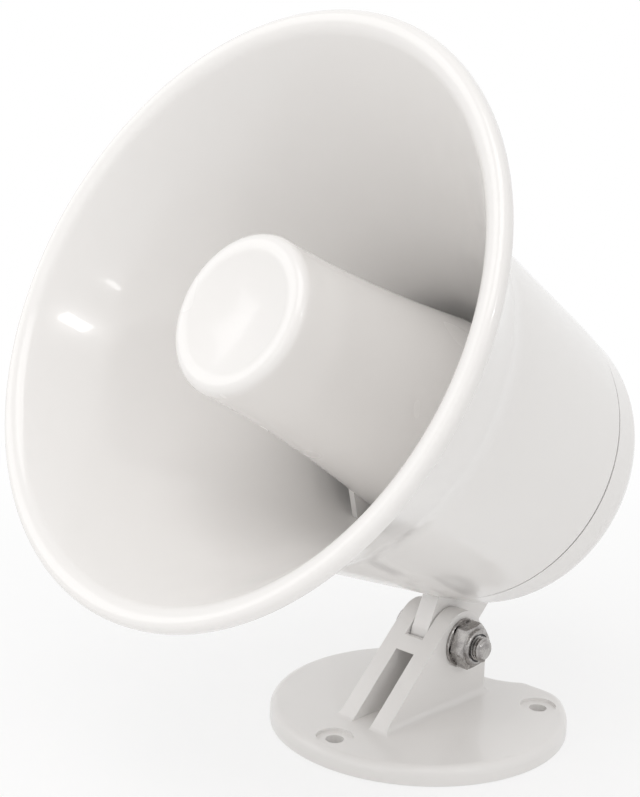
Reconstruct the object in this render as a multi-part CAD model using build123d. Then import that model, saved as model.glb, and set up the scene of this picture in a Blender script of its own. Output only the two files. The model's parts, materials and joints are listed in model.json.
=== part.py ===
from build123d import *
from math import acos, asin, atan2, cos, degrees, hypot, radians, sin, sqrt
import os

# Small loudspeaker horn on a pivoting foot. Sizes in millimetres.
# World frame: origin under the middle of the foot plate, +Z up, the horn fires towards -Y.
# Horn frame: z along the horn's axis towards the mouth from the housing's rear edge, y up, x across.

# Stance
horn_tilt = 26.0            # how far the horn points above level
pivot_height = 19.4         # bolt axis above the underside of the foot
pivot_back = 6.9            # bolt axis behind the middle of the foot
pivot_clear = 8.1           # bolt axis below the housing's rear edge
pivot_setback = 9.2         # bolt axis behind the housing's rear edge

# Bell and housing, one moulding
rim_radius = 64.0
rim_front = 93.2            # front of the rim from the housing's rear edge
bead_radius = 1.6
bell_wall = 2.3             # measured square to the axis
rim_step = 1.2              # from the middle of the bead in to the flare
throat_radius = 26.0        # inside of the bell where its flare begins
flare_exponent = 1.24
floor_front = 11.5          # bottom of the bowl in which the sound turns
floor_wall = 2.5
bowl_corner = 6.0
bowl_height = 6.3           # from the bowl's bottom to where the flare begins
housing_gap = 9.5           # from the driver's plate out to the housing's outside
housing_taper = 4.3 / 48.0  # growth of the housing's radius along its length
housing_wall = 2.2
waist_blend = 4.0           # blend where the housing runs into the bell

# Reflector plug in the bell's mouth
plug_front = 88.8
plug_rear = 23.0
plug_face_radius = 17.3
plug_root_radius = 24.4
plug_flare = 1.7
plug_wall = 1.8
plug_edge = 1.6
plug_lip = 1.8
plug_dish = 3.0             # depth of the hollow in its face
plug_lip_drop = 0.3
plug_roof_corner = 2.0
fin_count = 3
fin_angle = 10.0
fin_thickness = 1.6
fin_length = 9.0
fin_clearance = 0.1

# Throat tube
tube_front = 70.0
tube_bore_rear = 9.0
tube_bore_front = 10.4
tube_wall = 1.6
tube_clearance = 0.6
flange_thickness = 2.0

# Driver
driver_gasket_thickness = 0.8
ring_thickness = 3.4
ring_spare = 1.9            # ring's bore outside the inside of the former
film_thickness = 0.35
film_inset = 5.2            # film's edge inside the driver's screw circle
film_clearance = 0.2
dome_height = 1.7
coil_inset = 15.7           # inside of the voice coil's former inside the plate's edge
former_wall = 0.25
coil_wall = 0.35
coil_height = 2.2
former_inset = 0.2          # how far the former ends short of the plate's back
gap_clearance = 0.3
plate_radius = 28.4         # steel plate in front of the magnet
plate_thickness = 3.0
magnet_inset = 6.1          # magnet's edge inside the plate's
magnet_spare = 1.9          # magnet's bore outside the inside of the former
magnet_thickness = 7.0
yoke_inset = 0.3            # yoke's edge inside the magnet's
yoke_thickness = 3.0
yoke_chamfer = 0.8
pole_recess = 0.5           # how far the pole ends behind the plate's face
hub_radius = 4.4            # middle of the phase plug
hub_length = 9.0
hub_point = 0.6             # flat at the middle's tip
phase_thickness = 1.1
phase_clearance = 0.2
phase_slot_inner = 5.6
phase_slot_outer = 8.8
phase_spokes = 3
phase_spoke_width = 2.0
driver_screw_inset = 3.2    # screws' middle inside the plate's edge
driver_screw_count = 4
driver_screw_radius = 1.3
driver_screw_bite = 4.0
screw_clearance = 0.3
screw_point = 0.6           # chamfer at the screws' ends
pilot_spare = 0.4           # how much deeper a screw's hole is than its bite
driver_head_radius = 2.6
driver_head_height = 1.7
board_width = 12.0
board_depth = 4.6
board_thickness = 1.2
board_shift = 0.2           # board's middle out from the middle of the plate's free rim
tag_spacing = 6.0
tag_width = 2.2
tag_thickness = 0.5
tag_height = 4.5

# Rear cover
cover_step = 0.2            # cover's edge inside the housing's
cover_rear = 15.7           # back of the cover behind the housing's rear edge
cover_draft = 0.8
cover_corner = 8.0
cover_wall = 2.4
gasket_thickness = 0.5
gasket_inset = 0.5
spigot_length = 3.5
spigot_wall = 2.0
spigot_clearance = 0.3
spigot_root = 2.5           # how far the spigot's foot runs back into the cover
spigot_bite = 1.0           # how far the foot ends inside the cover's outside
cover_screw_inset = 5.9     # screws' middle inside the housing's outside
cover_screw_angles = (90.0, 210.0, 330.0)
cover_screw_radius = 1.5
cover_screw_bite = 10.0
cover_head_radius = 2.8
cover_head_height = 2.0
cover_head_sink = 9.0       # how deep the screw heads lie in their pockets
boss_radius = 3.2
boss_length = 13.0
pocket_clearance = 0.4
pocket_wall = 1.3
pocket_floor = 1.6
boss_clearance = 0.3
grommet_drop = 15.0
grommet_bore = 2.2
grommet_neck = 3.8
grommet_flange = 5.4
grommet_lip = 1.2

# Tongue under the rear cover
tongue_thickness = 4.8
tongue_end_radius = 7.8
heel_inset = 4.7            # heel's corner inside the cover's edge
heel_rear = 22.4            # heel's corner behind the housing's rear edge
heel_top_inset = 14.7       # where the heel runs out on the cover's back, inside the cover's edge
heel_corner = 3.0
shell_bite = 1.0            # how deep the tongue runs into the cover's shell

# Foot with its two ears
foot_radius = 35.7
foot_thickness = 4.2
foot_edge = 2.0
foot_rear = 29.2            # rear edge behind the middle of the foot
foot_corner = 9.0
dip_radius = 14.8           # round dip in the middle of the rear edge
dip_depth = 4.2
dip_corner = 4.0
screw_circle = 29.0
screw_angles = (-90.0, 42.0, 138.0)
screw_hole_radius = 2.1
screw_recess_radius = 4.3
screw_recess_depth = 0.7
slot_clearance = 0.3        # each side of the tongue
ear_thickness = 4.5
ear_radius = 7.6
ear_front = 20.3
ear_rear = 16.6
ear_rear_height = 12.0
ear_corner = 4.0
web_rise = 1.6              # top of the web above the pivot
web_drop = 1.2              # bottom of the web below the pivot
web_clearance = 0.8         # from the tongue's round end
foot_fillet = 1.6
join = 0.2                  # how deep joined forms run into each other

# Bolt, nut and washers
bolt_radius = 3.0
bolt_clearance = 0.08
bolt_head_radius = 5.2
bolt_head_height = 3.3
hex_width = 10.0
washer_radius = 6.0
washer_thickness = 0.8
nut_hex_height = 3.4
nut_collar_height = 1.0
nut_collar_radius = 4.5
insert_radius = 3.9
insert_inset = 0.2          # how far the insert ends short of the collar
thread_clearance = 0.03
bolt_end = 2.0              # how far the bolt stands out of the nut
bolt_chamfer = 0.6

# Places that follow from the sizes above
slot_half = tongue_thickness / 2 + slot_clearance
ear_outer = slot_half + ear_thickness
driver_screw_circle = plate_radius - driver_screw_inset
film_radius = driver_screw_circle - film_inset
magnet_radius = plate_radius - magnet_inset
coil_radius = plate_radius - coil_inset
magnet_bore = coil_radius + magnet_spare
ring_bore = coil_radius + ring_spare
yoke_radius = magnet_radius - yoke_inset
housing_rear_radius = plate_radius + housing_gap
cover_front_radius = housing_rear_radius - cover_step
cover_screw_circle = housing_rear_radius - cover_screw_inset
heel_drop = cover_front_radius - heel_inset
heel_top = cover_front_radius - heel_top_inset
pivot_drop = housing_rear_radius + pivot_clear
tilt = radians(horn_tilt)
forward = Vector(0, -cos(tilt), sin(tilt))
upward = Vector(0, sin(tilt), cos(tilt))
pivot = Vector(0, pivot_back, pivot_height)
horn_origin = pivot + upward * pivot_drop + forward * pivot_setback
horn_frame = Plane(origin=horn_origin, x_dir=(1, 0, 0), z_dir=forward).location

floor_back = floor_front - floor_wall
throat_start = floor_front + max(bowl_height, bowl_corner + 0.3)
mouth_radius = rim_radius - bead_radius - rim_step
mouth_start = rim_front - bead_radius
flange_front = floor_back - driver_gasket_thickness
flange_back = flange_front - flange_thickness
tube_passage = tube_bore_rear + tube_wall + tube_clearance
film_front = flange_back - ring_thickness
plate_front = film_front - film_thickness
plate_back = plate_front - plate_thickness
magnet_back = plate_back - magnet_thickness
yoke_back = magnet_back - yoke_thickness
former_outer = coil_radius + former_wall
coil_outer = former_outer + coil_wall
pole_radius = coil_radius - gap_clearance
plate_bore = coil_outer + gap_clearance
cover_inner_back = -cover_rear + cover_wall
cover_bearing = -cover_rear + cover_head_sink


def turned(face):
    """Solid of revolution about z from a face drawn as (radius, z)."""
    return revolve(Plane.XZ * face, Axis.Z)


def ring(outer, inner, low, high):
    """Plain ring about z."""
    body = Pos(0, 0, low) * Cylinder(outer, high - low, align=(Align.CENTER, Align.CENTER, Align.MIN))
    return body - Pos(0, 0, low - 1) * Cylinder(
        inner, high - low + 2, align=(Align.CENTER, Align.CENTER, Align.MIN)
    )


def rod(radius, low, high):
    """Plain cylinder about z."""
    return Pos(0, 0, low) * Cylinder(radius, high - low, align=(Align.CENTER, Align.CENTER, Align.MIN))


def on_circle(radius, angle, height=0.0):
    """Place on a circle about z."""
    return Pos(radius * cos(radians(angle)), radius * sin(radians(angle)), height)


def flare_radius(z):
    """Inside radius of the bell at z."""
    share = (z - throat_start) / (mouth_start - throat_start)
    return throat_radius + (mouth_radius - throat_radius) * max(share, 0.0) ** flare_exponent


def flare_points(offset):
    """Places along the flare, offset outwards."""
    span = mouth_start - throat_start
    return [
        (flare_radius(throat_start + span * step / 6) + offset, throat_start + span * step / 6)
        for step in range(7)
    ]


def bell_hollow(inset=0.0):
    """Solid that fills the bell's inside from the floor to past the rim."""
    floor = floor_front + inset
    side = throat_radius - inset
    corner = bowl_corner
    turn = (side - corner + corner * sin(radians(45)), floor + corner - corner * cos(radians(45)))
    flare = Spline(flare_points(-inset))
    end = flare @ 1
    start = flare @ 0
    lip = rim_front + 2.0
    edges = [
        Line((0, floor), (side - corner, floor)),
        ThreePointArc((side - corner, floor), turn, (side, floor + corner)),
    ]
    if start.Y > floor + corner + 1e-6:
        edges.append(Line((side, floor + corner), (start.X, start.Y)))
    edges.append(flare)
    edges.append(Polyline((end.X, end.Y), (end.X, lip), (0, lip), (0, floor)))
    return turned(make_face(edges))


def horn_bell():
    """Flared bell with its bowl, rim bead and outer housing, one moulding."""
    outer = Spline(flare_points(bell_wall))
    start = outer @ 0
    end = outer @ 1
    flare_body = turned(
        make_face(
            [
                Polyline((0, floor_back), (start.X, floor_back), (start.X, start.Y)),
                outer,
                Polyline((end.X, end.Y), (0, end.Y), (0, floor_back)),
            ]
        )
    )
    bead_place = rim_radius - bead_radius
    bead = turned(Pos(bead_place, rim_front - bead_radius) * Circle(bead_radius))
    meet = waist_place()
    waist = housing_radius(meet)
    overlap = meet + 2.0
    housing = turned(
        make_face(
            Polyline(
                (housing_rear_radius - housing_wall, 0),
                (housing_rear_radius, 0),
                (housing_radius(overlap), overlap),
                (housing_radius(overlap) - housing_wall, overlap),
                (housing_rear_radius - housing_wall, 0),
            )
        )
    )
    body = flare_body + housing
    crease = body.edges().filter_by(lambda e: abs(e.center().Z - meet) < 0.5 and e.length > waist)
    body = fillet(crease, waist_blend)
    body = body - bell_hollow() + bead
    for angle in cover_screw_angles:
        spot = on_circle(cover_screw_circle, angle)
        reach = housing_rear_radius - housing_wall / 2 - cover_screw_circle
        block = Rot(0, 0, angle) * Pos(cover_screw_circle + reach / 2, 0, boss_length / 2) * Box(
            reach, 1.5 * boss_radius, boss_length
        )
        body += spot * rod(boss_radius, 0, boss_length) + block
        body -= spot * rod(cover_screw_radius + thread_clearance, -1, cover_screw_bite + pilot_spare)
    body -= rod(tube_passage, floor_back - 1, floor_front + 1)
    pilot_end = floor_back + driver_screw_bite + pilot_spare
    for place in driver_screw_places():
        body -= place * rod(driver_screw_radius + thread_clearance, floor_back - 1, pilot_end)
    return body


def housing_radius(z):
    """Outside radius of the housing at z."""
    return housing_rear_radius + housing_taper * z


def waist_place():
    """Where the housing's outside meets the bell's outside."""
    low, high = throat_start, mouth_start
    for _ in range(40):
        middle = (low + high) / 2
        if flare_radius(middle) + bell_wall < housing_radius(middle):
            low = middle
        else:
            high = middle
    return (low + high) / 2


def plug_radius(z):
    """Outside radius of the reflector plug at z."""
    share = (plug_front - z) / (plug_front - plug_rear)
    return plug_face_radius + (plug_root_radius - plug_face_radius) * share ** plug_flare


def reflector_plug():
    """Cup that turns the sound, closed by a dished face, with fins that seat on the bell's wall."""
    span = plug_front - plug_edge - plug_rear
    heights = [plug_rear + span * step / 5 for step in range(6)]
    side = Spline([(plug_radius(z), z) for z in heights])
    top = side @ 1
    corner = plug_edge
    face_edge = top.X - corner
    turn = (face_edge + corner * sin(radians(45)), top.Y + corner * cos(radians(45)))
    outside = turned(
        make_face(
            [
                side,
                ThreePointArc((top.X, top.Y), turn, (face_edge, plug_front)),
                Polyline(
                    (face_edge, plug_front),
                    (face_edge - plug_lip, plug_front - plug_lip_drop),
                    (0, plug_front - plug_dish),
                    (0, plug_rear),
                    (plug_radius(plug_rear), plug_rear),
                ),
            ]
        )
    )
    roof = plug_front - plug_dish - plug_wall
    inner_heights = [plug_rear + (roof - plug_roof_corner - plug_rear) * step / 5 for step in range(6)]
    inner = Spline([(plug_radius(z) - plug_wall, z) for z in inner_heights])
    inner_top = inner @ 1
    inner_low = inner @ 0
    hollow = turned(
        make_face(
            [
                inner,
                Polyline(
                    (inner_top.X, inner_top.Y),
                    (inner_top.X - plug_roof_corner, roof),
                    (0, roof),
                    (0, plug_rear - 1),
                    (inner_low.X, plug_rear - 1),
                    (inner_low.X, inner_low.Y),
                ),
            ]
        )
    )
    fins = []
    for step in range(fin_count):
        blade = Pos(throat_radius, 0, plug_rear + fin_length / 2) * Box(
            throat_radius, fin_thickness, fin_length
        )
        fins.append(Rot(0, 0, fin_angle + 360 / fin_count * step) * blade)
    body = outside
    clip = bell_hollow(fin_clearance)
    for blade in fins:
        body += blade & clip
    return body - hollow


def driver_screw_places():
    """Places of the driver's screws."""
    return [
        on_circle(driver_screw_circle, 45 + 360 / driver_screw_count * step)
        for step in range(driver_screw_count)
    ]


def cut_screw_holes(body, low, high, radius):
    """Take the driver's screw holes out of a body."""
    for place in driver_screw_places():
        body -= place * rod(radius, low - 1, high + 1)
    return body


def throat_tube():
    """Tapered tube that leads the sound into the plug, with its flange."""
    tube = turned(
        make_face(
            Polyline(
                (tube_bore_rear, flange_back),
                (plate_radius, flange_back),
                (plate_radius, flange_front),
                (tube_bore_rear + tube_wall, flange_front),
                (tube_bore_front + tube_wall, tube_front),
                (tube_bore_front, tube_front),
                (tube_bore_rear, flange_back),
            )
        )
    )
    return cut_screw_holes(tube, flange_back, flange_front, driver_screw_radius + screw_clearance)


def driver_gasket():
    """Flat ring between the throat flange and the bell."""
    body = ring(plate_radius, tube_passage, flange_front, floor_back)
    return cut_screw_holes(body, flange_front, floor_back, driver_screw_radius + screw_clearance)


def diaphragm_ring():
    """Ring that clamps the diaphragm's edge."""
    body = ring(plate_radius, ring_bore, plate_front, flange_back)
    body -= rod(film_radius + film_clearance, plate_front - 1, film_front)
    return cut_screw_holes(body, plate_front, flange_back, driver_screw_radius + screw_clearance)


def phase_plug():
    """Slotted disc with a pointed middle in front of the dome."""
    back = flange_back - phase_thickness
    disc = rod(ring_bore - phase_clearance, back, flange_back)
    slot = ring(phase_slot_outer, phase_slot_inner, back - 1, flange_back + 1)
    for step in range(phase_spokes):
        spoke = Rot(0, 0, 90 + 360 / phase_spokes * step) * Pos(phase_slot_outer / 2, 0, back) * Box(
            phase_slot_outer * 1.2, phase_spoke_width, 3 * phase_thickness
        )
        slot -= spoke
    low = flange_back - join
    tip = flange_back + hub_length
    shoulder = (hub_radius * 0.72, flange_back + hub_length / 2)
    nose = turned(
        make_face(
            [
                Line((0, low), (hub_radius, low)),
                Line((hub_radius, low), (hub_radius, flange_back)),
                Spline((hub_radius, flange_back), shoulder, (hub_point, tip)),
                Polyline((hub_point, tip), (0, tip), (0, low)),
            ]
        )
    )
    return disc - slot + nose


def diaphragm():
    """Thin dome with its flat edge."""
    dome = (former_outer**2 + dome_height**2) / (2 * dome_height)
    centre = film_front + dome_height - dome
    outer_angle = degrees(asin(former_outer / dome))
    inner_edge = sqrt((dome - film_thickness) ** 2 - (plate_front - centre) ** 2)
    inner_angle = degrees(atan2(inner_edge, plate_front - centre))
    outer = CenterArc((0, centre), dome, 90 - outer_angle, outer_angle)
    inner = CenterArc((0, centre), dome - film_thickness, 90 - inner_angle, inner_angle)
    edge = Polyline(outer @ 0, (film_radius, film_front), (film_radius, plate_front), inner @ 0)
    return turned(make_face([outer, edge, inner, Line(inner @ 1, outer @ 1)]))


def voice_coil_former():
    """Thin sleeve that carries the winding."""
    return ring(former_outer, coil_radius, plate_back + former_inset, plate_front)


def voice_coil():
    """Winding in the magnet's gap."""
    middle = (plate_front + plate_back) / 2
    return ring(coil_outer, former_outer, middle - coil_height / 2, middle + coil_height / 2)


def top_plate():
    """Steel plate in front of the magnet."""
    body = ring(plate_radius, plate_bore, plate_back, plate_front)
    return cut_screw_holes(body, plate_back, plate_front, driver_screw_radius + screw_clearance)


def magnet():
    """Ferrite ring."""
    return ring(magnet_radius, magnet_bore, magnet_back, plate_back)


def yoke():
    """Back plate with its pole."""
    base = rod(yoke_radius, yoke_back, magnet_back)
    base = chamfer(base.edges().group_by(Axis.Z)[0], yoke_chamfer)
    return base + rod(pole_radius, magnet_back, plate_front - pole_recess)


def pan_screw(shank_radius, head_radius, head_height, length, point):
    """Screw that points along +z from its head's bearing face at z = 0, with a crossed recess."""
    head = rod(head_radius, -head_height, 0)
    head = fillet(head.edges().group_by(Axis.Z)[0], head_height * 0.45)
    slot = Pos(0, 0, -head_height) * Box(head_radius * 1.1, head_radius * 0.3, head_height * 0.9)
    head = head - slot - Rot(0, 0, 90) * slot
    shank = rod(shank_radius, 0, length)
    shank = chamfer(shank.edges().group_by(Axis.Z)[-1], point)
    return head + shank


def driver_screws():
    """Screws that hold the driver to the bell."""
    length = floor_back - plate_back + driver_screw_bite
    screw = pan_screw(driver_screw_radius, driver_head_radius, driver_head_height, length, screw_point)
    return Compound(children=[place * Pos(0, 0, plate_back) * screw for place in driver_screw_places()])


def terminal_board():
    """Fibre strip on the back of the top plate."""
    middle = (magnet_radius + plate_radius) / 2 + board_shift
    return Pos(0, -middle, plate_back - board_thickness / 2) * Box(board_width, board_depth, board_thickness)


def solder_tags():
    """Two tags that stand on the terminal board."""
    middle = (magnet_radius + plate_radius) / 2 + board_shift
    tags = []
    for side in (-1, 1):
        foot = Pos(side * tag_spacing / 2, -middle, plate_back - board_thickness - tag_thickness / 2) * Box(
            tag_width, board_depth * 0.6, tag_thickness
        )
        blade = Pos(side * tag_spacing / 2, -middle, plate_back - board_thickness - tag_height / 2) * Box(
            tag_width, tag_thickness, tag_height
        )
        tags.append(foot + blade)
    return Compound(children=tags)


def cover_profile(inset, front):
    """Face of the cover's outline, drawn in by an inset, from its front to the axis."""
    base = cover_front_radius - inset
    back = -cover_rear + inset
    corner = max(cover_corner - inset, 1.0)
    side = base - cover_draft
    turn = (side - corner + corner * cos(radians(45)), back + corner - corner * sin(radians(45)))
    return make_face(
        [
            Line((base, front), (side, back + corner)),
            ThreePointArc((side, back + corner), turn, (side - corner, back)),
            Polyline((side - corner, back), (0, back), (0, front), (base, front)),
        ]
    )


def tangent_place(point, centre, radius, side):
    """Where the line from a point touches a circle."""
    reach = hypot(point[0] - centre[0], point[1] - centre[1])
    angle = atan2(point[1] - centre[1], point[0] - centre[0]) + side * acos(radius / reach)
    return (centre[0] + radius * cos(angle), centre[1] + radius * sin(angle))


def tongue():
    """Flat tongue with its round end on the pivot and a heel that runs up the cover's back."""
    end_y = -pivot_drop
    end_z = -pivot_setback
    root_y = -(cover_front_radius - cover_draft - cover_corner)
    heel = (-heel_drop, -heel_rear)
    touch = tangent_place(heel, (end_y, end_z), tongue_end_radius, -1)
    front_z = end_z + tongue_end_radius
    face = make_face(
        [
            Line((root_y, front_z), (end_y, front_z)),
            ThreePointArc((end_y, front_z), (end_y - tongue_end_radius, end_z), touch),
            Polyline(touch, heel, (-heel_top, -cover_rear + shell_bite), (root_y, front_z)),
        ]
    )
    corner = face.vertices().sort_by_distance(Vector(heel[0], heel[1], 0))[0]
    face = fillet(corner, heel_corner)
    return extrude(Plane.YZ * face, tongue_thickness / 2, both=True)


def rear_cover():
    """Cap behind the housing with its tongue, screw pockets and spigot, one moulding."""
    front = -gasket_thickness
    shell = turned(cover_profile(0, front))
    shell += tongue() - turned(cover_profile(shell_bite, front))
    hollow = turned(cover_profile(cover_wall, front + 1))
    spigot_outer = housing_rear_radius - housing_wall - spigot_clearance
    body = shell - hollow
    spigot = ring(spigot_outer, spigot_outer - spigot_wall, front - spigot_root, spigot_length)
    bridge = ring(cover_front_radius - spigot_bite, spigot_outer - spigot_wall, front - spigot_root, front)
    body += bridge + spigot
    head_z = cover_bearing
    pocket = cover_head_radius + pocket_clearance
    whole = turned(cover_profile(0.2, front))
    for angle in cover_screw_angles:
        spot = on_circle(cover_screw_circle, angle)
        body += (spot * rod(pocket + pocket_wall, -cover_rear, head_z + pocket_floor)) & whole
        body += spot * rod(boss_radius, head_z, front)
        body -= spot * rod(boss_radius + boss_clearance, front, spigot_length + 1)
        notch = Rot(0, 0, angle) * Pos(housing_rear_radius, 0, front + (spigot_length + 1) / 2)
        depth = 2 * (housing_rear_radius - cover_screw_circle)
        body -= notch * Box(depth, 1.5 * boss_radius + 2 * boss_clearance, spigot_length + 1)
        body -= spot * rod(pocket, -cover_rear - 5, head_z)
        body -= spot * rod(cover_screw_radius + screw_clearance, head_z - 1, front + 1)
    body -= Pos(0, -grommet_drop, 0) * rod(grommet_neck, -cover_rear - 1, cover_inner_back + 1)
    bore = Pos(0, -pivot_drop, -pivot_setback) * Rot(0, 90, 0) * Cylinder(
        bolt_radius + bolt_clearance, 2 * tongue_thickness
    )
    return body - bore


def cover_gasket():
    """Flat ring in the seam between the housing and the cover."""
    outer = cover_front_radius - gasket_inset
    inner = housing_rear_radius - housing_wall - spigot_clearance + 0.1
    return ring(outer, inner, -gasket_thickness, 0)


def cover_screws():
    """Screws that hold the cover to the housing."""
    length = -cover_bearing + cover_screw_bite
    screw = pan_screw(cover_screw_radius, cover_head_radius, cover_head_height, length, screw_point)
    places = [on_circle(cover_screw_circle, angle, cover_bearing) for angle in cover_screw_angles]
    return Compound(children=[place * screw for place in places])


def cable_grommet():
    """Rubber grommet in the cover's back."""
    outside = -cover_rear - grommet_lip
    inside = cover_inner_back + grommet_lip
    profile = Polyline(
        (grommet_bore, outside),
        (grommet_flange - 0.8, outside),
        (grommet_flange, outside + 0.5),
        (grommet_flange, -cover_rear),
        (grommet_neck, -cover_rear),
        (grommet_neck, cover_inner_back),
        (grommet_flange, cover_inner_back),
        (grommet_flange - 0.6, inside),
        (grommet_bore, inside),
        (grommet_bore, outside),
    )
    return Pos(0, -grommet_drop, 0) * turned(make_face(profile))


def ear_face():
    """Side outline of an ear as (y, z)."""
    centre = (pivot_back, pivot_height)
    front = (-ear_front, foot_thickness)
    rear = (ear_rear, ear_rear_height)
    front_touch = tangent_place(front, centre, ear_radius, -1)
    rear_touch = tangent_place(rear, centre, ear_radius, 1)
    crown = (centre[0], centre[1] + ear_radius)
    low = foot_thickness / 2
    face = make_face(
        [
            Line(front, front_touch),
            ThreePointArc(front_touch, crown, rear_touch),
            Polyline(rear_touch, rear, (ear_rear, low), (-ear_front, low), front),
        ]
    )
    corner = face.vertices().sort_by_distance(Vector(rear[0], rear[1], 0))[0]
    return fillet(corner, ear_corner)


def foot_plate():
    """Round plate, cut off at the rear with a dip in the middle, with rounded upper edge."""
    behind = Pos(0, foot_rear + foot_radius) * Rectangle(4 * foot_radius, 2 * foot_radius)
    disc = Circle(foot_radius) - behind
    disc = disc - Pos(0, foot_rear - dip_depth + dip_radius) * Circle(dip_radius)
    rear_points = disc.vertices().group_by(Axis.Y)[-1]
    outer_points = rear_points.filter_by(lambda v: abs(v.X) > dip_radius)
    disc = fillet(outer_points, foot_corner)
    dip_points = disc.vertices().filter_by(lambda v: abs(v.X) < dip_radius and abs(v.Y - foot_rear) < 0.01)
    dip_points = dip_points.sort_by(lambda v: abs(v.X))[:2]
    disc = fillet(dip_points, dip_corner)
    plate = extrude(disc, foot_thickness)
    return fillet(plate.edges().group_by(Axis.Z)[-1], foot_edge)


def bracket():
    """Foot plate with its two ears and the web between them, one moulding."""
    outline = ear_face()
    ear = extrude(Plane.YZ * outline, ear_thickness)
    near = Pos(slot_half, 0, 0) * ear
    far = Pos(-ear_outer, 0, 0) * ear
    body = foot_plate() + near + far
    feet = body.edges().filter_by(GeomType.LINE).filter_by(
        lambda e: abs(e.center().Z - foot_thickness) < 0.01
        and abs(e.center().X) < ear_outer + 0.01
        and abs(e.center().X) > slot_half + 0.01
        and e.center().Y > -ear_front - 0.01
        and e.center().Y < ear_rear + 0.01
    )
    body = fillet(feet, foot_fillet)
    band = Pos(pivot_back - ear_front, pivot_height + (web_rise - web_drop) / 2) * Rectangle(
        2 * ear_front, web_rise + web_drop
    )
    web = (band & outline) - Pos(pivot_back, pivot_height) * Circle(tongue_end_radius + web_clearance)
    body += extrude(Plane.YZ * web, slot_half + join, both=True)
    body -= Pos(0, pivot_back, pivot_height) * Rot(0, 90, 0) * Cylinder(
        bolt_radius + bolt_clearance, 4 * ear_outer
    )
    for angle in screw_angles:
        spot = on_circle(screw_circle, angle)
        body -= spot * rod(screw_hole_radius, -1, foot_thickness + 1)
        body -= spot * rod(screw_recess_radius, foot_thickness - screw_recess_depth, foot_thickness + 1)
    return body


def on_pivot(start, body):
    """Lay a body made along z on the pivot's axis, from x = start."""
    return Pos(start, pivot_back, pivot_height) * Rot(0, 90, 0) * body


def hexagon(height):
    """Hexagonal prism with its corners turned down at the far end."""
    corner = hex_width / sqrt(3)
    block = extrude(Rot(0, 0, 30) * RegularPolygon(corner, 6), height)
    blank = chamfer(rod(corner, 0, height).edges().group_by(Axis.Z)[-1], 0.45, 0.8)
    return block & blank


def hinge_bolt():
    """Pan-head bolt through the ears and the tongue."""
    bearing = -ear_outer - washer_thickness
    nut_end = ear_outer + washer_thickness + nut_hex_height + nut_collar_height
    length = nut_end + bolt_end - bearing
    bolt = pan_screw(bolt_radius, bolt_head_radius, bolt_head_height, length, bolt_chamfer)
    return on_pivot(bearing, bolt)


def hinge_washers():
    """Washers under the bolt's head and under the nut."""
    bore = bolt_radius + 2 * bolt_clearance
    washer = ring(washer_radius, bore, 0, washer_thickness)
    pair = [on_pivot(ear_outer, washer), on_pivot(-ear_outer - washer_thickness, washer)]
    return Compound(children=pair)


def lock_nut():
    """Hexagon nut with a round collar that holds its insert."""
    height = nut_hex_height + nut_collar_height
    collar = rod(nut_collar_radius, 0, height)
    collar = fillet(collar.edges().group_by(Axis.Z)[-1], 0.4)
    body = hexagon(nut_hex_height) + collar
    body -= rod(bolt_radius + thread_clearance, -1, height + 1)
    body -= rod(insert_radius, nut_hex_height, height + 1)
    return on_pivot(ear_outer + washer_thickness, body)


def nut_insert():
    """Soft ring in the nut's collar."""
    top = nut_hex_height + nut_collar_height - insert_inset
    insert = ring(insert_radius, bolt_radius + thread_clearance, nut_hex_height, top)
    return on_pivot(ear_outer + washer_thickness, insert)


foot_pieces = {
    "bracket": bracket,
    "hinge_bolt": hinge_bolt,
    "hinge_washers": hinge_washers,
    "lock_nut": lock_nut,
    "nut_insert": nut_insert,
}

horn_pieces = {
    "horn_bell": horn_bell,
    "reflector_plug": reflector_plug,
    "throat_tube": throat_tube,
    "driver_gasket": driver_gasket,
    "phase_plug": phase_plug,
    "diaphragm_ring": diaphragm_ring,
    "diaphragm": diaphragm,
    "voice_coil_former": voice_coil_former,
    "voice_coil": voice_coil,
    "top_plate": top_plate,
    "magnet": magnet,
    "yoke": yoke,
    "driver_screws": driver_screws,
    "terminal_board": terminal_board,
    "solder_tags": solder_tags,
    "rear_cover": rear_cover,
    "cover_gasket": cover_gasket,
    "cover_screws": cover_screws,
    "cable_grommet": cable_grommet,
}

os.makedirs("parts", exist_ok=True)
for name, make in foot_pieces.items():
    export_step(make(), f"parts/{name}.step")
for name, make in horn_pieces.items():
    export_step(horn_frame * make(), f"parts/{name}.step")
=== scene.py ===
import bpy
import bmesh
import json
import math
from mathutils import Matrix, Vector


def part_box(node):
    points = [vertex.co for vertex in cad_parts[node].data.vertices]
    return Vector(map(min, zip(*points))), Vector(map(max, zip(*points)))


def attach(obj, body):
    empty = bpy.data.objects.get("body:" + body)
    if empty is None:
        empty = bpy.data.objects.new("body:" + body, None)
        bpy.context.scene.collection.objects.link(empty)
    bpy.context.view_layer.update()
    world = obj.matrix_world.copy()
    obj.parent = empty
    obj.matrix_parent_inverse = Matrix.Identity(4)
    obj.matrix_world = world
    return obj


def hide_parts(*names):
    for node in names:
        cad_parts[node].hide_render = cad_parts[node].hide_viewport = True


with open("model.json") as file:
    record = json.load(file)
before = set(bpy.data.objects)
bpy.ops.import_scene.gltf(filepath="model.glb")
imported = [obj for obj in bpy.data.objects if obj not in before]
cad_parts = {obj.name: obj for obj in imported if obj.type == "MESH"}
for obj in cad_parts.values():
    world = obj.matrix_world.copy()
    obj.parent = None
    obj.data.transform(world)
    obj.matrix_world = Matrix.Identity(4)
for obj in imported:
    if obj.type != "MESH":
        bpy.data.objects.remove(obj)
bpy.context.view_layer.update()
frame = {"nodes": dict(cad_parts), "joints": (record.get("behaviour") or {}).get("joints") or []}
nodes = frame["nodes"]
print("frame loaded:", len(nodes), "nodes")

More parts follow.
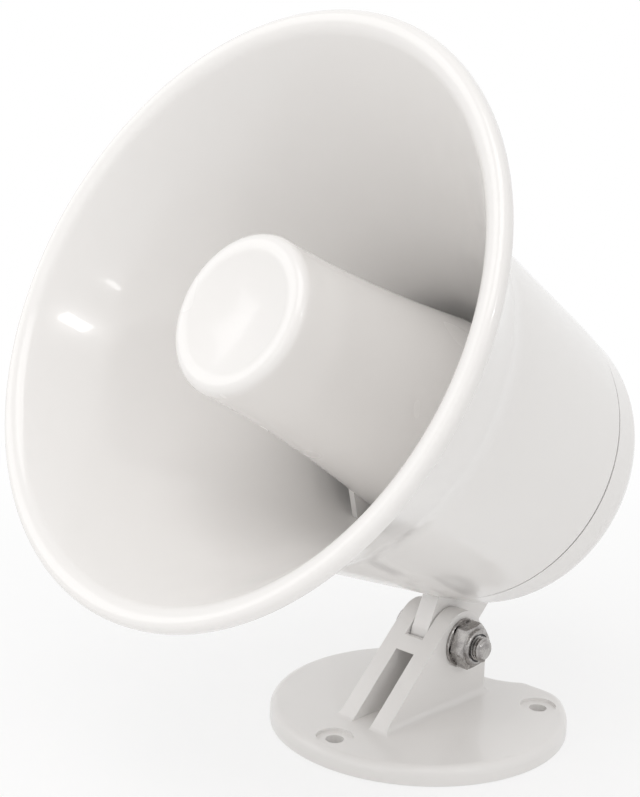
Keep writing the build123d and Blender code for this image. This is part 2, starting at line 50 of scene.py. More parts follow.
# The horn's own axes, from the pivot joint and the horn's tilt
stance = {
    "tilt": 26.0,          # degrees that the horn points above level
    "pivotDrop": 0.046,    # pivot below the horn's axis
    "pivotSetback": 0.0092,  # pivot behind the housing's rear edge
}
pivot = Vector(frame["joints"][0]["pos_m"])
tilt = math.radians(stance["tilt"])
forward = Vector((0, -math.cos(tilt), math.sin(tilt)))
upward = Vector((0, math.sin(tilt), math.cos(tilt)))
hornOrigin = pivot + upward * stance["pivotDrop"] + forward * stance["pivotSetback"]
hornTurn = Matrix((Vector((1, 0, 0)), upward, forward)).transposed().to_4x4()
hornPlace = Matrix.Translation(hornOrigin) @ hornTurn
pivotPlace = Matrix.Translation(pivot) @ Matrix.Rotation(math.radians(90), 4, "Y")


# Materials

def newMaterial(name):
    material = bpy.data.materials.new(name)
    material.use_nodes = True
    return material, material.node_tree, material.node_tree.nodes["Principled BSDF"]


def addNoise(tree, scale, detail, roughness=0.5, stretch=(1, 1, 1)):
    place = tree.nodes.new("ShaderNodeTexCoord")
    mapping = tree.nodes.new("ShaderNodeMapping")
    mapping.inputs["Scale"].default_value = stretch
    noise = tree.nodes.new("ShaderNodeTexNoise")
    noise.inputs["Scale"].default_value = scale
    noise.inputs["Detail"].default_value = detail
    noise.inputs["Roughness"].default_value = roughness
    tree.links.new(place.outputs["Object"], mapping.inputs["Vector"])
    tree.links.new(mapping.outputs["Vector"], noise.inputs["Vector"])
    return noise


def addRamp(tree, source, low, high, lowColour, highColour):
    ramp = tree.nodes.new("ShaderNodeValToRGB")
    ramp.color_ramp.elements[0].position = low
    ramp.color_ramp.elements[1].position = high
    ramp.color_ramp.elements[0].color = (*lowColour, 1)
    ramp.color_ramp.elements[1].color = (*highColour, 1)
    tree.links.new(source, ramp.inputs["Fac"])
    return ramp


def addRange(tree, source, low, high, span=(0.3, 0.7)):
    spread = tree.nodes.new("ShaderNodeMapRange")
    spread.inputs["From Min"].default_value = span[0]
    spread.inputs["From Max"].default_value = span[1]
    spread.inputs["To Min"].default_value = low
    spread.inputs["To Max"].default_value = high
    tree.links.new(source, spread.inputs["Value"])
    return spread


def addBump(tree, shader, source, strength, distance):
    bump = tree.nodes.new("ShaderNodeBump")
    bump.inputs["Strength"].default_value = strength
    bump.inputs["Distance"].default_value = distance
    tree.links.new(source, bump.inputs["Height"])
    tree.links.new(bump.outputs["Normal"], shader.inputs["Normal"])


whitePlastic = {
    "colour": (0.88, 0.865, 0.85),
    "shade": (0.865, 0.848, 0.832),  # where the moulding looks a little duller
    "cloudScale": 16.0,
    "cloudSpan": (0.15, 0.85),       # from which to which noise value the shade turns into the colour
    "sheenScale": 60.0,              # size of the patches that are more or less glossy
    "sheenSpan": (0.1, 0.9),
    "rippleScale": 90.0,             # faint unevenness of a moulded gloss surface
    "rippleStrength": 0.12,
    "rippleDepth": 0.000012,
    "detail": 1.0,                   # of all three noises
    "ior": 1.5,
    "coat": 0.35,                    # clear gloss of the moulding over its softer sheen
    "coatRoughness": 0.04,
}


def mouldedWhite(name, look, roughness):
    material, tree, shader = newMaterial(name)
    cloud = addNoise(tree, look["cloudScale"], look["detail"])
    ramp = addRamp(tree, cloud.outputs["Fac"], *look["cloudSpan"], look["shade"], look["colour"])
    tree.links.new(ramp.outputs["Color"], shader.inputs["Base Color"])
    sheen = addNoise(tree, look["sheenScale"], look["detail"])
    spread = addRange(tree, sheen.outputs["Fac"], *roughness, look["sheenSpan"])
    tree.links.new(spread.outputs["Result"], shader.inputs["Roughness"])
    ripple = addNoise(tree, look["rippleScale"], look["detail"])
    addBump(tree, shader, ripple.outputs["Fac"], look["rippleStrength"], look["rippleDepth"])
    shader.inputs["IOR"].default_value = look["ior"]
    shader.inputs["Coat Weight"].default_value = look["coat"]
    shader.inputs["Coat Roughness"].default_value = look["coatRoughness"]
    return material


grain = {
    "detail": 4.0,
    "roughness": 0.6,
    "span": (0.35, 0.65),    # from which to which noise value the shade turns into the colour
    "metalRelief": 0.3,
    "plainRelief": 0.4,
}


def grainedFinish(name, colour, shade, roughness, scale, depth, relief, stretch=(1, 1, 1)):
    # one fine noise drives colour, roughness and relief
    material, tree, shader = newMaterial(name)
    noise = addNoise(tree, scale, grain["detail"], grain["roughness"], stretch)
    ramp = addRamp(tree, noise.outputs["Fac"], *grain["span"], shade, colour)
    tree.links.new(ramp.outputs["Color"], shader.inputs["Base Color"])
    spread = addRange(tree, noise.outputs["Fac"], *roughness)
    tree.links.new(spread.outputs["Result"], shader.inputs["Roughness"])
    addBump(tree, shader, noise.outputs["Fac"], relief, depth)
    return material


def metalFinish(name, colour, shade, roughness, stretch=(1, 1, 1), scale=600.0, depth=0.00002):
    material = grainedFinish(name, colour, shade, roughness, scale, depth, grain["metalRelief"], stretch)
    material.node_tree.nodes["Principled BSDF"].inputs["Metallic"].default_value = 1.0
    return material


def plainFinish(name, colour, shade, roughness, scale=300.0, depth=0.00003):
    return grainedFinish(name, colour, shade, roughness, scale, depth, grain["plainRelief"])


bellWhite = mouldedWhite("bellWhite", whitePlastic, (0.16, 0.24))
plugWhite = mouldedWhite("plugWhite", whitePlastic, (0.20, 0.30))
footWhite = mouldedWhite("footWhite", whitePlastic, (0.28, 0.40))
tubeWhite = plainFinish("tubeWhite", (0.74, 0.73, 0.72), (0.70, 0.69, 0.68), (0.45, 0.6))
stainless = metalFinish("stainless", (0.50, 0.485, 0.47), (0.30, 0.285, 0.28), (0.18, 0.34))
platedSteel = metalFinish("platedSteel", (0.62, 0.62, 0.58), (0.50, 0.50, 0.47), (0.28, 0.42), scale=250.0)
ferriteGrey = plainFinish("ferriteGrey", (0.10, 0.10, 0.11), (0.06, 0.06, 0.065), (0.5, 0.7), 500.0, 0.00006)
darkPlastic = plainFinish("darkPlastic", (0.045, 0.045, 0.05), (0.03, 0.03, 0.034), (0.35, 0.5))
nylonInsert = plainFinish("nylonInsert", (0.05, 0.05, 0.055), (0.03, 0.03, 0.035), (0.4, 0.55))
softRubber = plainFinish("softRubber", (0.05, 0.05, 0.052), (0.032, 0.032, 0.034), (0.6, 0.75))
filmAmber = plainFinish("filmAmber", (0.56, 0.43, 0.22), (0.48, 0.36, 0.17), (0.3, 0.45))
sleeveAmber = plainFinish("sleeveAmber", (0.50, 0.26, 0.07), (0.42, 0.21, 0.05), (0.35, 0.5))
copperWire = metalFinish("copperWire", (0.85, 0.42, 0.24), (0.62, 0.26, 0.13), (0.3, 0.45), (1, 1, 8))
fibreBrown = plainFinish("fibreBrown", (0.32, 0.17, 0.07), (0.24, 0.12, 0.05), (0.55, 0.7), 700.0)
tinnedBrass = metalFinish("tinnedBrass", (0.74, 0.71, 0.60), (0.60, 0.57, 0.46), (0.3, 0.4))
print("materials made")

finishes = {
    "horn_bell": bellWhite, "rear_cover": bellWhite, "reflector_plug": plugWhite, "bracket": footWhite,
    "throat_tube": tubeWhite, "diaphragm_ring": darkPlastic, "phase_plug": darkPlastic,
    "diaphragm": filmAmber, "voice_coil_former": sleeveAmber, "voice_coil": copperWire,
    "top_plate": platedSteel, "yoke": platedSteel, "magnet": ferriteGrey, "driver_screws": platedSteel,
    "cover_screws": stainless, "hinge_bolt": stainless, "hinge_washers": stainless, "lock_nut": stainless,
    "nut_insert": nylonInsert, "driver_gasket": softRubber, "cover_gasket": softRubber,
    "cable_grommet": softRubber, "terminal_board": fibreBrown, "solder_tags": tinnedBrass,
}
for name, material in finishes.items():
    node = nodes[name]
    node.data.materials.clear()
    node.data.materials.append(material)


# New pieces on the pivot: each is made about its own z axis
# and then laid along the pivot, where z is the world's x

hairline = 0.00001  # keeps an end just inside the CAD's box, and a pole just open
ringSteps = 96      # sides of a full circle on these pieces


def finishPiece(name, work, body, material, smoothAngle):
    mesh = bpy.data.meshes.new(name)
    work.to_mesh(mesh)
    work.free()
    mesh.shade_smooth()
    mesh.set_sharp_from_angle(angle=math.radians(smoothAngle))
    mesh.materials.append(material)
    piece = bpy.data.objects.new(name, mesh)
    bpy.context.scene.collection.objects.link(piece)
    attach(piece, body)
    return piece


def shapeRing(verts, across, radius, height, slope):
    # across given: a hexagon cut by a cone that starts at radius; else a plain circle
    for vert in verts:
        angle = math.atan2(vert.co.y, vert.co.x)
        reach, lift = radius, 0.0
        if across:
            reach = across / 2 / math.cos((angle % math.radians(60)) - math.radians(30))
            lift = max(0.0, reach - radius) * slope
        vert.co = Vector((reach * math.cos(angle), reach * math.sin(angle), height - lift))


def drawRings(work, rings, steps):
    # each ring is drawn out of the one before it: hexagon's width or 0, radius, height, slope
    made = bmesh.ops.create_circle(work, cap_ends=False, segments=steps, radius=1.0)["verts"]
    first = edges = list(dict.fromkeys(edge for vert in made for edge in vert.link_edges))
    shapeRing(made, *rings[0])
    for ring in rings[1:]:
        drawn = bmesh.ops.extrude_edge_only(work, edges=edges)["geom"]
        verts = [item for item in drawn if isinstance(item, bmesh.types.BMVert)]
        edges = [item for item in drawn if isinstance(item, bmesh.types.BMEdge)]
        shapeRing(verts, *ring)
    return first, edges


boltSizes = {
    "headRadius": 0.0048,
    "headHeight": 0.0027,
    "headFlat": 0.0030,      # radius of the flat on the head's end
    "headRound": 0.0015,     # how far the head's round shoulder reaches along the bolt
    "edge": 0.0002,          # chamfers of the head and the tip
    "crossReach": 0.0025,    # half the length of the recess's arms
    "crossHalf": 0.00065,
    "crossDepth": 0.0018,
    "shank": 0.00300,
    "root": 0.00246,         # radius at the bottom of the thread
    "runOut": 0.0004,        # from the plain shank down to the root
    "pitch": 0.0008,
    "threadStart": 0.0088,   # from the middle of the foot
    "threadMargin": 0.0001,  # bare root at both ends of the thread
    "threadBite": 0.00012,   # how deep the ridge sits in the root
    "threadShape": (0.06, 0.42, 0.58, 0.94),  # shares of a pitch: ridge starts, crest, crest, ridge ends
    "crestDrop": 0.00003,    # how far the crest stays under the shank
    "stepsPerTurn": 48,
}


def makeCross(work, height, outer):
    # crossed recess in the flat on the head's end, inside its outer edge loop
    reach, half = boltSizes["crossReach"], boltSizes["crossHalf"]
    arm = [(half, half), (half, reach), (-half, reach)]
    verts = []
    for turn in range(4):
        spin = Matrix.Rotation(math.radians(90 * turn), 3, "Z")
        verts += [work.verts.new(spin @ Vector((x, y, height))) for x, y in arm]
    cross = [work.edges.new((verts[i], verts[(i + 1) % len(verts)])) for i in range(len(verts))]
    bmesh.ops.triangle_fill(work, edges=outer + cross, use_beauty=True)
    drawn = bmesh.ops.extrude_edge_only(work, edges=cross)["geom"]
    low = [item for item in drawn if isinstance(item, bmesh.types.BMVert)]
    bmesh.ops.translate(work, verts=low, vec=(0, 0, boltSizes["crossDepth"]))
    floor = [item for item in drawn if isinstance(item, bmesh.types.BMEdge)]
    bmesh.ops.triangle_fill(work, edges=floor, use_beauty=True)


def makeThread(work, low, high):
    # a ridge wound round the root: its small profile is spun and moved along
    sizes = boltSizes
    pitch, root = sizes["pitch"], sizes["root"]
    turns = int((high - low) / pitch)
    inner = root - sizes["threadBite"]
    crest = sizes["shank"] - sizes["crestDrop"]
    corners = zip((inner, root, crest, crest, root, inner), (0.0, *sizes["threadShape"], 1.0))
    verts = [work.verts.new((radius, 0, low + share * pitch)) for radius, share in corners]
    cap = work.faces.new(verts)
    steps = sizes["stepsPerTurn"] * turns
    bmesh.ops.spin(
        work, geom=[cap] + list(cap.edges) + verts, cent=(0, 0, 0), axis=(0, 0, 1),
        dvec=(0, 0, pitch * turns / steps), angle=math.radians(360 * turns), steps=steps,
        use_merge=False, use_duplicate=False,
    )


def makeBolt():
    sizes = boltSizes
    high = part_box("hinge_bolt")[1]
    tip = high.x - hairline
    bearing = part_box("hinge_washers")[0].x
    start = bearing - sizes["headHeight"]
    flat, head, shank, root = sizes["headFlat"], sizes["headRadius"], sizes["shank"], sizes["root"]
    edge, threadStart, margin = sizes["edge"], sizes["threadStart"], sizes["threadMargin"]
    work = bmesh.new()
    profile = [(0, flat, start, 0)]
    for step in range(1, 7):
        swing = math.radians(15 * step)
        reach = flat + (head - flat) * math.sin(swing)
        profile.append((0, reach, start + sizes["headRound"] * (1 - math.cos(swing)), 0))
    profile += [
        (0, head, bearing - edge, 0),
        (0, head - edge, bearing, 0),
        (0, shank, bearing, 0),
        (0, shank, threadStart - sizes["runOut"], 0),
        (0, root, threadStart, 0),
        (0, root, tip - edge, 0),
        (0, root - edge, tip, 0),
    ]
    first, last = drawRings(work, profile, ringSteps)
    bmesh.ops.holes_fill(work, edges=last, sides=0)
    makeCross(work, start, first)
    makeThread(work, threadStart + margin, tip - margin)
    bmesh.ops.recalc_face_normals(work, faces=work.faces)
    bmesh.ops.transform(work, matrix=pivotPlace, verts=work.verts)
    bolt = finishPiece("threadedBolt", work, "foot", stainless, 25)
    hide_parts("hinge_bolt")


nutSizes = {
    "across": 0.010,         # hexagon's width across its flats
    "chamferFrom": 0.0049,   # radius from which the corners are turned down
    "chamferSlope": 0.5,
    "collarRadius": 0.0045,
    "collarFoot": 0.0001,    # small flare where the collar leaves the hexagon
    "collarLip": 0.0006,     # roll of the collar's end
    "lipWall": 0.00012,
    "bore": 0.00303,
    "throat": 0.0034,        # opening of the rolled collar over the insert
    "recess": 0.0039,
    "turn": 36.0,            # degrees that the nut stands turned
}


def makeNut():
    sizes = nutSizes
    low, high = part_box("lock_nut")
    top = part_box("nut_insert")[0].x
    across, cone, slope = sizes["across"], sizes["chamferFrom"], sizes["chamferSlope"]
    collar, lip = sizes["collarRadius"], sizes["collarLip"]
    foot, wall = sizes["collarFoot"], sizes["lipWall"]
    work = bmesh.new()
    profile = [
        (0, sizes["bore"], low.x, 0),
        (0, cone, low.x, 0),
        (across, cone, low.x, -slope),
        (across, cone, top, slope),
        (0, cone, top, 0),
        (0, collar + foot, top + 0.5 * foot, 0),
        (0, collar, top + 2 * foot, 0),
    ]
    for step in range(7):
        swing = math.radians(15 * step)
        height = high.x - lip * (1 - math.sin(swing))
        profile.append((0, collar - lip * (1 - math.cos(swing)), height, 0))
    profile += [
        (0, sizes["throat"], high.x - hairline, 0),
        (0, sizes["throat"], high.x - wall, 0),
        (0, sizes["recess"], high.x - 1.25 * wall, 0),
        (0, sizes["recess"], top, 0),
        (0, sizes["bore"], top, 0),
    ]
    first, last = drawRings(work, profile, ringSteps)
    bmesh.ops.bridge_loops(work, edges=first + last)
    bmesh.ops.recalc_face_normals(work, faces=work.faces)
    turn = Matrix.Rotation(math.radians(sizes["turn"]), 4, "Z")
    bmesh.ops.transform(work, matrix=pivotPlace @ turn, verts=work.verts)
    nut = finishPiece("collaredNut", work, "foot", stainless, 25)
    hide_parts("lock_nut")


washerSizes = {"thickness": 0.0008, "edge": 0.00015, "bore": 0.00316}


def makeWashers():
    sizes = washerSizes
    low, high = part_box("hinge_washers")
    radius, edge = (high.z - low.z) / 2, sizes["edge"]
    work = bmesh.new()
    for inner in (low.x, high.x - sizes["thickness"]):
        outer = inner + sizes["thickness"]
        profile = [
            (0, sizes["bore"], inner, 0),
            (0, radius - edge, inner, 0),
            (0, radius, inner + edge, 0),
            (0, radius, outer - edge, 0),
            (0, radius - edge, outer, 0),
            (0, sizes["bore"], outer, 0),
        ]
        first, last = drawRings(work, profile, ringSteps)
        bmesh.ops.bridge_loops(work, edges=first + last)
    bmesh.ops.recalc_face_normals(work, faces=work.faces)
    bmesh.ops.transform(work, matrix=pivotPlace, verts=work.verts)
    washers = finishPiece("pivotWashers", work, "foot", stainless, 40)
    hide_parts("hinge_washers")


makeBolt()
makeNut()
makeWashers()
print("pivot pieces made")


# New horn pieces: each is made in the horn's own axes,
# where z runs along the horn from the housing's rear edge

def evenSteps(start, end, steps):
    return [start + (end - start) * step / steps for step in range(steps + 1)]


def addArc(points, middle, radius, start, end, steps):
    for angle in evenSteps(start, end, steps):
        swing = math.radians(angle)
        points.append((middle[0] + radius * math.cos(swing), middle[1] + radius * math.sin(swing)))


def spinProfile(work, points, steps):
    # a closed outline of (radius, z) turned once about z
    verts = [work.verts.new((radius, 0, z)) for radius, z in points]
    edges = [work.edges.new((verts[i], verts[(i + 1) % len(verts)])) for i in range(len(verts))]
    bmesh.ops.spin(
        work, geom=verts + edges, cent=(0, 0, 0), axis=(0, 0, 1), angle=math.radians(360),
        steps=steps, use_merge=True, use_duplicate=False,
    )
    bmesh.ops.recalc_face_normals(work, faces=work.faces)


bellSizes = {
    "throat": 0.0260,         # radius where the flare begins
    "throatStart": 0.0178,
    "mouth": 0.0612,
    "mouthStart": 0.0916,
    "exponent": 1.24,
    "wall": 0.0023,
    "pinch": 0.00215,         # how far the flare stays inside the plain curve before the lip
    "pinchStart": 0.050,
    "outerPinch": 0.75,       # share of the pinch that shows on the outside
    "lipStart": 0.0910,
    "lipRadius": 0.0045,      # roll of the lip towards the front
    "lipMiddle": (0.0626, 0.0887),
    "lipTurn": (149.5, 95),   # degrees over which it rolls
    "rim": 0.0640,
    "front": 0.0932,
    "rimEdge": 0.00162,
    "rimBack": 0.0902,
    "rimUnder": 0.0006,       # from the rim's back down to the bell's outside
    "bowlFloor": 0.0115,
    "bowlCorner": 0.0060,
    "floorBack": 0.0090,
    "passage": 0.0112,
    "housingRear": 0.0379,
    "housingTaper": 4.3 / 48.0,
    "housingWall": 0.0022,
    "seam": 0.0004,           # open joint between the housing's edge and the rear cover
    "waistBlend": 0.0045,     # half the length of the blend between the housing and the bell
    "innerSetback": 0.0045,   # where the inside of the housing ends, behind the waist
    "bossCircle": 0.0320,
    "bossAngles": (90, 210, 330),
    "bossRadius": 0.0032,
    "bossBore": 0.00153,
    "bossLength": 0.013,
    "blockGap": 0.0007,       # from the boss's bore out to its block
    "blockWidth": 1.5,        # in radii of the boss
    "flareSteps": 44,
    "steps": 200,
}


def plainFlare(z):
    sizes = bellSizes
    share = (z - sizes["throatStart"]) / (sizes["mouthStart"] - sizes["throatStart"])
    return sizes["throat"] + (sizes["mouth"] - sizes["throat"]) * max(share, 0.0) ** sizes["exponent"]


def pinchedFlare(z, share=1.0):
    sizes = bellSizes
    along = (z - sizes["pinchStart"]) / (sizes["lipStart"] - sizes["pinchStart"])
    along = min(max(along, 0.0), 1.0)
    return plainFlare(z) - share * sizes["pinch"] * along * along * (3 - 2 * along)


def outerFlare(z):
    return pinchedFlare(z, bellSizes["outerPinch"]) + bellSizes["wall"]


def housingRadius(z):
    return bellSizes["housingRear"] + bellSizes["housingTaper"] * z


def findWaist():
    # where the bell's outside meets the housing's outside
    low, high = bellSizes["throatStart"], bellSizes["lipStart"]
    for halving in range(40):
        middle = (low + high) / 2
        if outerFlare(middle) < housingRadius(middle):
            low = middle
        else:
            high = middle
    return low


def addOutside(points):
    # from the rim's back down the bell, over the waist and along the housing to its rear edge
    sizes = bellSizes
    start = sizes["rimBack"] - sizes["rimUnder"]
    meet, blend = findWaist(), sizes["waistBlend"]
    points += [(outerFlare(z), z) for z in evenSteps(start, meet + blend, 30)]
    top = (outerFlare(meet + blend), meet + blend)
    low = (housingRadius(meet - blend), meet - blend)
    corner = (housingRadius(meet), meet)
    for step in range(1, 8):     # soft blend where the housing runs into the bell
        part = step / 8
        shares = ((1 - part) ** 2, 2 * part * (1 - part), part * part)
        points.append(tuple(
            shares[0] * top[i] + shares[1] * corner[i] + shares[2] * low[i] for i in range(2)
        ))
    points += [(housingRadius(z), z) for z in evenSteps(low[1], sizes["seam"], 8)]


def addInside(points):
    # from the housing's rear edge up its inside and back down the bowl's outside
    sizes = bellSizes
    inside = findWaist() - sizes["innerSetback"]
    for z in evenSteps(sizes["seam"], inside, 8):
        points.append((housingRadius(z) - sizes["housingWall"], z))
    for z in evenSteps(inside, sizes["throatStart"], 8)[1:]:
        points.append((plainFlare(z) + sizes["wall"], z))
    points.append((sizes["throat"] + sizes["wall"], sizes["floorBack"]))
    points.append((sizes["passage"], sizes["floorBack"]))


def bellOutline():
    sizes = bellSizes
    points = [(sizes["passage"], sizes["bowlFloor"])]
    corner = sizes["bowlCorner"]
    addArc(points, (sizes["throat"] - corner, sizes["bowlFloor"] + corner), corner, -90, 0, 8)
    for z in evenSteps(sizes["throatStart"], sizes["lipStart"], sizes["flareSteps"])[:-1]:
        points.append((pinchedFlare(z), z))
    addArc(points, sizes["lipMiddle"], sizes["lipRadius"], *sizes["lipTurn"], 12)
    rim, edge, back = sizes["rim"], sizes["rimEdge"], sizes["rimBack"]
    addArc(points, (rim - edge, sizes["front"] - edge), edge, 90, 0, 7)
    addArc(points, (rim - 0.5 * edge, back + 0.5 * edge), 0.5 * edge, 0, -90, 4)
    addOutside(points)
    addInside(points)
    return points


def addMesh(work, other):
    # puts one bmesh into another
    mesh = bpy.data.meshes.new("part")
    other.to_mesh(mesh)
    other.free()
    work.from_mesh(mesh)
    bpy.data.meshes.remove(mesh)


def addBlock(boss):
    # joins a screw boss to the housing's wall
    sizes = bellSizes
    start = sizes["bossBore"] + sizes["blockGap"]
    reach = sizes["housingRear"] - sizes["housingWall"] / 2 - sizes["bossCircle"] - start
    height = sizes["bossLength"] - sizes["seam"]
    block = bmesh.ops.create_cube(boss, size=1.0)["verts"]
    bmesh.ops.scale(boss, verts=block, vec=(reach, sizes["blockWidth"] * sizes["bossRadius"], height))
    bmesh.ops.translate(boss, verts=block, vec=(start + reach / 2, 0, sizes["seam"] + height / 2))


def makeBoss(angle):
    sizes = bellSizes
    bore, outer, length = sizes["bossBore"], sizes["bossRadius"], sizes["bossLength"]
    boss = bmesh.new()
    rings = [(0, bore, 0.0, 0), (0, outer, 0.0, 0), (0, outer, length, 0), (0, bore, length, 0)]
    first, last = drawRings(boss, rings, 32)
    bmesh.ops.bridge_loops(boss, edges=first + last)
    addBlock(boss)
    bmesh.ops.recalc_face_normals(boss, faces=boss.faces)
    swing = math.radians(angle)
    bmesh.ops.rotate(boss, verts=boss.verts, cent=(0, 0, 0), matrix=Matrix.Rotation(swing, 3, "Z"))
    place = (sizes["bossCircle"] * math.cos(swing), sizes["bossCircle"] * math.sin(swing), 0)
    bmesh.ops.translate(boss, verts=boss.verts, vec=place)
    return boss


def makeBell():
    work = bmesh.new()
    spinProfile(work, bellOutline(), bellSizes["steps"])
    for angle in bellSizes["bossAngles"]:
        addMesh(work, makeBoss(angle))
    bmesh.ops.transform(work, matrix=hornPlace, verts=work.verts)
    bell = finishPiece("flaredBell", work, "horn", bellWhite, 40)
    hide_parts("horn_bell")


plugSizes = {
    "face": 0.0173,
    "root": 0.0244,
    "front": 0.0888,
    "curveRear": 0.0230,
    "rear": 0.0268,
    "flare": 1.7,             # exponent of its side's curve
    "wall": 0.0018,
    "edge": 0.0023,           # round edge of its face
    "edgeTurn": (10, 100),    # degrees over which that edge turns
    "lip": 0.0012,            # flat lip between the edge and the dish
    "dish": 0.0030,           # depth of the hollow in its face
    "dishRise": 1.6,
    "roofCorner": 0.002,
    "merge": 0.00002,         # points closer than this become one, at the poles
    "ribAngles": (-105, 15, 135),
    "ribThickness": 0.0019,
    "ribFront": 0.0318,
    "ribSlope": 1.07,
    "ribRear": 0.0236,
    "ribBite": 0.0006,        # how deep a rib sits in the plug's wall
    "ribGap": 0.0001,         # glue gap to the bell
    "ribStep": 0.0004,
    "ribSearch": 0.0001,      # steps in which the slant's end on the bell's wall is looked for
    "steps": 160,
}


def plugRadius(z):
    sizes = plugSizes
    share = (sizes["front"] - z) / (sizes["front"] - sizes["curveRear"])
    return sizes["face"] + (sizes["root"] - sizes["face"]) * max(share, 0.0) ** sizes["flare"]


def plugOutline():
    sizes = plugSizes
    front, edge, rear = sizes["front"], sizes["edge"], sizes["rear"]
    points = [(plugRadius(z), z) for z in evenSteps(rear, front - edge, 28)]
    side = plugRadius(front - edge)
    addArc(points, (side - edge, front - edge), edge, *sizes["edgeTurn"], 9)
    inner = side - edge - sizes["lip"]
    for step in range(12):       # shallow dish that rises softly to the lip
        share = 1 - step / 12
        points.append((inner * share, front - sizes["dish"] * (1 - share ** sizes["dishRise"])))
    points.append((hairline, front - sizes["dish"]))
    roof, corner = front - sizes["dish"] - sizes["wall"], sizes["roofCorner"]
    points.append((hairline, roof))
    points.append((plugRadius(roof) - sizes["wall"] - corner, roof))
    points += [(plugRadius(z) - sizes["wall"], z) for z in evenSteps(roof - corner, rear, 16)]
    return points


def makeRib(angle):
    # a rib from the plug to the bell, whose front edge slants back to the bell's wall
    sizes = plugSizes
    front, rear, gap = sizes["ribFront"], sizes["ribRear"], sizes["ribGap"]
    plugSide = plugRadius(front)
    wallFront = front
    while plainFlare(wallFront) > plugSide + (front - wallFront) / sizes["ribSlope"]:
        wallFront -= sizes["ribSearch"]
    half = sizes["ribThickness"] / 2
    inner = plugRadius(sizes["rear"]) - 2 * sizes["ribBite"]
    outline = [
        (plugSide - sizes["ribBite"], front),
        (plugSide, front),
        (plainFlare(wallFront) - gap, wallFront),
        (plainFlare(rear) - gap, rear),
        (inner, rear),
        (inner, sizes["rear"] + sizes["ribStep"]),
    ]
    rib = bmesh.new()
    face = rib.faces.new([rib.verts.new((radius, -half, z)) for radius, z in outline])
    drawn = bmesh.ops.extrude_face_region(rib, geom=[face])["geom"]
    moved = [item for item in drawn if isinstance(item, bmesh.types.BMVert)]
    bmesh.ops.translate(rib, verts=moved, vec=(0, 2 * half, 0))
    bmesh.ops.recalc_face_normals(rib, faces=rib.faces)
    turn = Matrix.Rotation(math.radians(angle), 3, "Z")
    bmesh.ops.rotate(rib, verts=rib.verts, cent=(0, 0, 0), matrix=turn)
    return rib


def makePlug():
    sizes = plugSizes
    work = bmesh.new()
    spinProfile(work, plugOutline(), sizes["steps"])
    bmesh.ops.remove_doubles(work, verts=work.verts, dist=sizes["merge"])
    bmesh.ops.recalc_face_normals(work, faces=work.faces)
    for angle in sizes["ribAngles"]:
        addMesh(work, makeRib(angle))
    bmesh.ops.transform(work, matrix=hornPlace, verts=work.verts)
    plug = finishPiece("reflectorCup", work, "horn", plugWhite, 35)
    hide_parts("reflector_plug")


makeBell()
makePlug()
print("bell and reflector made")


# Stage: camera, floor and lights

camera = {
    "place": (0.1950, -0.2376, 0.1389),
    "forward": (-0.68275, 0.70419, -0.19486),
    "up": (-0.15308, 0.12290, 0.98054),
    "lens": 60.98,
    "sensor": 36.0,
    "clip": (0.01, 20.0),
}


def placeCamera():
    data = bpy.data.cameras.new("camera")
    data.lens = camera["lens"]
    data.sensor_width = camera["sensor"]
    data.clip_start, data.clip_end = camera["clip"]
    viewer = bpy.data.objects.new("camera", data)
    bpy.context.scene.collection.objects.link(viewer)
    back = -Vector(camera["forward"]).normalized()
    up = Vector(camera["up"])
    right = up.cross(back).normalized()
    up = back.cross(right)
    turn = Matrix((right, up, back)).transposed().to_4x4()
    viewer.matrix_world = Matrix.Translation(camera["place"]) @ turn
    bpy.context.scene.camera = viewer


floorLook = {
    "size": 24.0,
    "colour": (0.93, 0.93, 0.93),
    "roughness": 0.9,
    "drop": 0.0002,        # how far the floor lies under the foot
    "shadow": 0.30,        # how much of the shadow the camera sees near the foot
    "fade": (0.04, 0.32),  # from where to where the shadow fades away from the foot
}


def addSeenRays(tree):
    # 1 for rays straight from the camera and for those that metal and glass send on, else 0
    paths = tree.nodes.new("ShaderNodeLightPath")
    some = tree.nodes.new("ShaderNodeMath")
    some.operation = "ADD"
    tree.links.new(paths.outputs["Is Camera Ray"], some.inputs[0])
    tree.links.new(paths.outputs["Is Glossy Ray"], some.inputs[1])
    rays = tree.nodes.new("ShaderNodeMath")
    rays.operation = "ADD"
    rays.use_clamp = True
    tree.links.new(some.outputs["Value"], rays.inputs[0])
    tree.links.new(paths.outputs["Is Transmission Ray"], rays.inputs[1])
    return rays


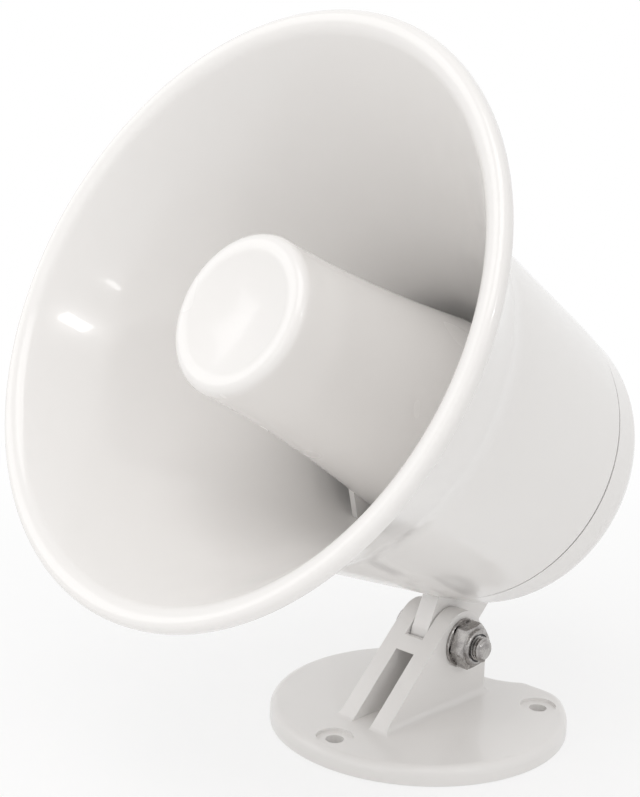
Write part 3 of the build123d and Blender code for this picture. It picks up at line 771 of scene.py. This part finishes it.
def floorMaterial():
    # pale floor that the camera sees as white, apart from the object's shadow, which fades outwards
    material, tree, shader = newMaterial("paleFloor")
    shader.inputs["Base Color"].default_value = (*floorLook["colour"], 1)
    shader.inputs["Roughness"].default_value = floorLook["roughness"]
    shader.inputs["Specular IOR Level"].default_value = 0.0
    white = tree.nodes.new("ShaderNodeEmission")
    white.inputs["Color"].default_value = (1, 1, 1, 1)
    white.inputs["Strength"].default_value = 1.0
    place = tree.nodes.new("ShaderNodeTexCoord")
    reach = tree.nodes.new("ShaderNodeVectorMath")
    reach.operation = "LENGTH"
    tree.links.new(place.outputs["Object"], reach.inputs[0])
    fade = tree.nodes.new("ShaderNodeMapRange")
    fade.interpolation_type = "SMOOTHSTEP"
    fade.inputs["From Min"].default_value = floorLook["fade"][0]
    fade.inputs["From Max"].default_value = floorLook["fade"][1]
    fade.inputs["To Min"].default_value = 1.0 - floorLook["shadow"]
    fade.inputs["To Max"].default_value = 1.0
    tree.links.new(reach.outputs["Value"], fade.inputs["Value"])
    share = tree.nodes.new("ShaderNodeMath")
    share.operation = "MULTIPLY"
    tree.links.new(fade.outputs["Result"], share.inputs[1])
    tree.links.new(addSeenRays(tree).outputs["Value"], share.inputs[0])
    mix = tree.nodes.new("ShaderNodeMixShader")
    tree.links.new(share.outputs["Value"], mix.inputs["Fac"])
    tree.links.new(shader.outputs["BSDF"], mix.inputs[1])
    tree.links.new(white.outputs["Emission"], mix.inputs[2])
    tree.links.new(mix.outputs["Shader"], tree.nodes["Material Output"].inputs["Surface"])
    return material


def makeFloor():
    grid = bmesh.new()
    bmesh.ops.create_grid(grid, x_segments=2, y_segments=2, size=floorLook["size"] / 2)
    mesh = bpy.data.meshes.new("floor")
    grid.to_mesh(mesh)
    grid.free()
    mesh.materials.append(floorMaterial())
    floor = bpy.data.objects.new("floor", mesh)
    bpy.context.scene.collection.objects.link(floor)
    floor.location.z = -floorLook["drop"]


worldLook = {
    "lit": 0.67,                 # strength that lights the object, while the camera sees white
    "colour": (1.0, 0.99, 0.98),
}


def makeWorld():
    world = bpy.data.worlds.new("studio")
    bpy.context.scene.world = world
    world.use_nodes = True
    tree = world.node_tree
    tree.nodes.clear()
    seen = tree.nodes.new("ShaderNodeBackground")
    seen.inputs["Color"].default_value = (1, 1, 1, 1)
    seen.inputs["Strength"].default_value = 1.0
    lit = tree.nodes.new("ShaderNodeBackground")
    lit.inputs["Color"].default_value = (*worldLook["colour"], 1)
    lit.inputs["Strength"].default_value = worldLook["lit"]
    mix = tree.nodes.new("ShaderNodeMixShader")
    end = tree.nodes.new("ShaderNodeOutputWorld")
    tree.links.new(addSeenRays(tree).outputs["Value"], mix.inputs["Fac"])
    tree.links.new(lit.outputs["Background"], mix.inputs[1])
    tree.links.new(seen.outputs["Background"], mix.inputs[2])
    tree.links.new(mix.outputs["Shader"], end.inputs["Surface"])


lampTarget = (0, -0.03, 0.08)
lamps = {  # the two windows leave the small bright glints inside the bell
    "softboxTop": {"place": (0.22, -0.58, 1.12), "size": (0.8, 0.8), "power": 3.8},
    "softboxFront": {"place": (0.05, -0.95, 0.42), "size": (0.6, 0.6), "power": 0.6},
    "softboxLeft": {"place": (-0.70, -0.60, 0.60), "size": (0.5, 0.5), "power": 0.9},
    "windowHigh": {"place": (0.91, -0.22, 0.60), "size": (0.11, 0.07), "power": 0.45},
    "windowLow": {"place": (1.00, -0.33, 0.27), "size": (0.055, 0.035), "power": 0.07},
}


def makeLamps():
    for name, lamp in lamps.items():
        data = bpy.data.lights.new(name, "AREA")
        data.shape = "RECTANGLE"
        data.size, data.size_y = lamp["size"]
        data.energy = lamp["power"]
        light = bpy.data.objects.new(name, data)
        bpy.context.scene.collection.objects.link(light)
        aim = Vector(lampTarget) - Vector(lamp["place"])
        turn = aim.to_track_quat("-Z", "Y").to_matrix().to_4x4()
        light.matrix_world = Matrix.Translation(lamp["place"]) @ turn


placeCamera()
makeFloor()
makeWorld()
makeLamps()
bpy.context.scene.view_settings.view_transform = "Standard"
print("stage made")
